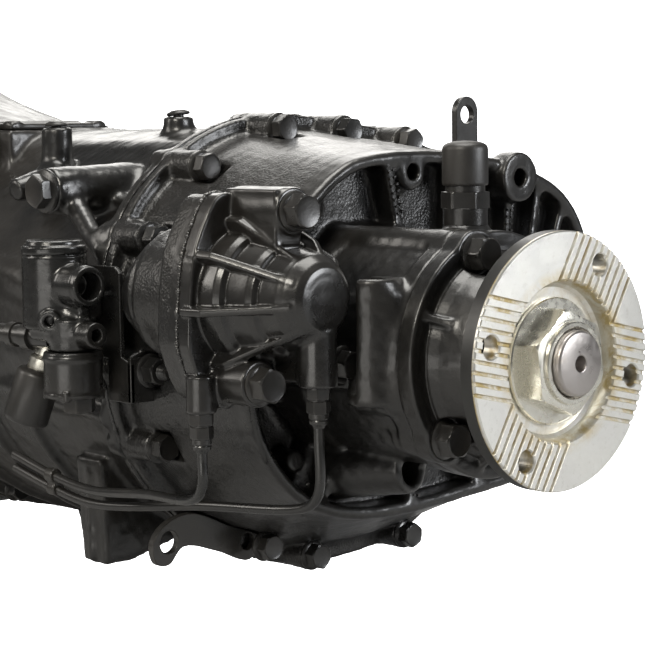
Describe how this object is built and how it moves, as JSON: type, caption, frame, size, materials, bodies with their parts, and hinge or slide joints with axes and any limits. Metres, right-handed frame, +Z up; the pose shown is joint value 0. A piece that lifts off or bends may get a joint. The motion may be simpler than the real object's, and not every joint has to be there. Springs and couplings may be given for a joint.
{
  "type": "manual transmission",
  "caption": "Heavy-vehicle range-change manual gearbox with clutch housing, synchromesh main case, planetary rear unit, air shift cylinder and toothed output flange.",
  "frame": {"origin": "centre of the output flange's mating face, on the axis of the input, main and output shafts", "axes": "+X runs rearward along the shafts and out of the output flange, +Z is up, +Y is towards the countershaft side"},
  "size_m": [0.935, 0.5149, 0.489],
  "materials": {
    "case_paint": "satin",
    "gear_steel": "satin",
    "flange_face": "satin",
    "nut_zinc": "satin",
    "seal_rubber": "matte",
    "cap_plastic": "matte"
  },
  "bodies": {
    "case": {"clutch_housing": "case_paint", "main_case": "case_paint", "rear_housing": "case_paint", "output_bearing_cover": "case_paint", "output_seal": "seal_rubber", "range_cylinder_cover": "case_paint", "top_shift_cover": "case_paint", "input_bearing_cover": "case_paint", "speed_sensor_body": "case_paint", "speed_sensor_cap": "cap_plastic", "rear_lifting_eye": "case_paint", "lower_lifting_eye": "case_paint", "air_pipe_low_range": "case_paint", "air_pipe_high_range": "case_paint", "air_fitting_low_range": "case_paint", "air_fitting_high_range": "case_paint", "air_regulator_body": "case_paint", "air_filter_bowl": "case_paint", "valve_bracket": "case_paint", "air_dryer_can": "cap_plastic", "vent_cap_front": "cap_plastic", "vent_cap_rear": "cap_plastic", "side_plug": "case_paint", "output_bearing": "gear_steel", "mainshaft_bearing": "gear_steel", "input_bearing": "gear_steel", "countershaft_bearing_front": "gear_steel", "countershaft_bearing_rear": "gear_steel", "low_range_lock_ring": "gear_steel", "reverse_idler_pin": "gear_steel", "bearing_cover_bolt": "case_paint", "cylinder_cover_bolt": "case_paint"},
    "output": {"output_shaft": "gear_steel", "output_flange": "flange_face", "output_nut": "nut_zinc"},
    "planet_1": {"planet_gear_1": "gear_steel"},
    "planet_2": {"planet_gear_2": "gear_steel"},
    "planet_3": {"planet_gear_3": "gear_steel"},
    "planet_4": {"planet_gear_4": "gear_steel"},
    "main_shaft": {"mainshaft": "gear_steel"},
    "sleeve_34": {"sleeve_3_4": "gear_steel"},
    "sleeve_12": {"sleeve_1_2": "gear_steel"},
    "sleeve_rev": {"sleeve_reverse": "gear_steel"},
    "input": {"input_shaft": "gear_steel"},
    "counter": {"countershaft": "gear_steel", "countershaft_drive_gear": "gear_steel"},
    "wheel_3": {"gear_3": "gear_steel"},
    "wheel_2": {"gear_2": "gear_steel"},
    "wheel_1": {"gear_1": "gear_steel"},
    "wheel_rev": {"gear_reverse": "gear_steel"},
    "idler": {"reverse_idler_gear": "gear_steel"},
    "fork_34": {"shift_fork_3_4": "gear_steel"},
    "fork_12": {"shift_fork_1_2": "gear_steel"},
    "fork_rev": {"shift_fork_reverse": "gear_steel"},
    "range_shift": {"range_ring_gear": "gear_steel", "range_piston": "gear_steel", "range_fork": "gear_steel"},
    "selector": {"selector_shaft": "gear_steel", "selector_lever": "case_paint"}
  },
  "joints": [
    {"name": "output_turn", "type": "hinge", "parent": "case", "child": "output", "pos_m": [-0.3, 0, 0], "axis": [1, 0, 0], "continuous": true},
    {"name": "mainshaft_turn", "type": "hinge", "parent": "case", "child": "main_shaft", "pos_m": [-0.3, 0, 0], "axis": [1, 0, 0], "continuous": true},
    {"name": "planet_1_turn", "type": "hinge", "parent": "output", "child": "planet_1", "pos_m": [-0.3, 0.04808, 0.04808], "axis": [1, 0, 0], "continuous": true},
    {"name": "planet_2_turn", "type": "hinge", "parent": "output", "child": "planet_2", "pos_m": [-0.3, -0.04808, 0.04808], "axis": [1, 0, 0], "continuous": true},
    {"name": "planet_3_turn", "type": "hinge", "parent": "output", "child": "planet_3", "pos_m": [-0.3, -0.04808, -0.04808], "axis": [1, 0, 0], "continuous": true},
    {"name": "planet_4_turn", "type": "hinge", "parent": "output", "child": "planet_4", "pos_m": [-0.3, 0.04808, -0.04808], "axis": [1, 0, 0], "continuous": true},
    {"name": "countershaft_turn", "type": "hinge", "parent": "case", "child": "counter", "pos_m": [-0.3, 0.1299, -0.075], "axis": [1, 0, 0], "continuous": true},
    {"name": "input_turn", "type": "hinge", "parent": "case", "child": "input", "pos_m": [-0.3, 0, 0], "axis": [1, 0, 0], "continuous": true},
    {"name": "gear_3_turn", "type": "hinge", "parent": "case", "child": "wheel_3", "pos_m": [-0.3, 0, 0], "axis": [1, 0, 0], "continuous": true},
    {"name": "gear_2_turn", "type": "hinge", "parent": "case", "child": "wheel_2", "pos_m": [-0.3, 0, 0], "axis": [1, 0, 0], "continuous": true},
    {"name": "gear_1_turn", "type": "hinge", "parent": "case", "child": "wheel_1", "pos_m": [-0.3, 0, 0], "axis": [1, 0, 0], "continuous": true},
    {"name": "idler_turn", "type": "hinge", "parent": "case", "child": "idler", "pos_m": [-0.3, 0.06409, -0.12222], "axis": [1, 0, 0], "continuous": true},
    {"name": "gear_reverse_turn", "type": "hinge", "parent": "case", "child": "wheel_rev", "pos_m": [-0.3, 0, 0], "axis": [1, 0, 0], "continuous": true},
    {"name": "fork_3_4_slide", "type": "slide", "parent": "case", "child": "fork_34", "axis": [1, 0, 0], "range_m": [-0.007, 0.007]},
    {"name": "sleeve_3_4_slide", "type": "slide", "parent": "main_shaft", "child": "sleeve_34", "axis": [1, 0, 0], "range_m": [-0.007, 0.007]},
    {"name": "fork_1_2_slide", "type": "slide", "parent": "case", "child": "fork_12", "axis": [1, 0, 0], "range_m": [-0.0067, 0.0067]},
    {"name": "sleeve_1_2_slide", "type": "slide", "parent": "main_shaft", "child": "sleeve_12", "axis": [1, 0, 0], "range_m": [-0.0067, 0.0067]},
    {"name": "selector_turn", "type": "hinge", "parent": "case", "child": "selector", "pos_m": [-0.636, 0, 0.152], "axis": [0, 1, 0], "range_deg": [-18.3, 18.3]},
    {"name": "fork_reverse_slide", "type": "slide", "parent": "case", "child": "fork_rev", "axis": [1, 0, 0], "range_m": [0, 0.007]},
    {"name": "sleeve_reverse_slide", "type": "slide", "parent": "main_shaft", "child": "sleeve_rev", "axis": [1, 0, 0], "range_m": [0, 0.007]},
    {"name": "range_slide", "type": "slide", "parent": "case", "child": "range_shift", "axis": [1, 0, 0], "range_m": [0, 0.012]}
  ],
  "couplings": [
    {"joint": "mainshaft_turn", "follows": "output_turn", "ratio": 3.4},
    {"joint": "planet_1_turn", "follows": "output_turn", "ratio": -3.4286},
    {"joint": "planet_2_turn", "follows": "output_turn", "ratio": -3.4286},
    {"joint": "planet_3_turn", "follows": "output_turn", "ratio": -3.4286},
    {"joint": "planet_4_turn", "follows": "output_turn", "ratio": -3.4286},
    {"joint": "input_turn", "follows": "countershaft_turn", "ratio": -1.5},
    {"joint": "gear_3_turn", "follows": "countershaft_turn", "ratio": -1.1739},
    {"joint": "gear_2_turn", "follows": "countershaft_turn", "ratio": -0.72414},
    {"joint": "gear_1_turn", "follows": "countershaft_turn", "ratio": -0.47059},
    {"joint": "idler_turn", "follows": "countershaft_turn", "ratio": -0.92857},
    {"joint": "gear_reverse_turn", "follows": "countershaft_turn", "ratio": 0.40625},
    {"joint": "sleeve_3_4_slide", "follows": "fork_3_4_slide", "ratio": 1},
    {"joint": "sleeve_1_2_slide", "follows": "fork_1_2_slide", "ratio": 1},
    {"joint": "selector_turn", "follows": "fork_1_2_slide", "rad_per_m": -47.6},
    {"joint": "sleeve_reverse_slide", "follows": "fork_reverse_slide", "ratio": 1}
  ]
}
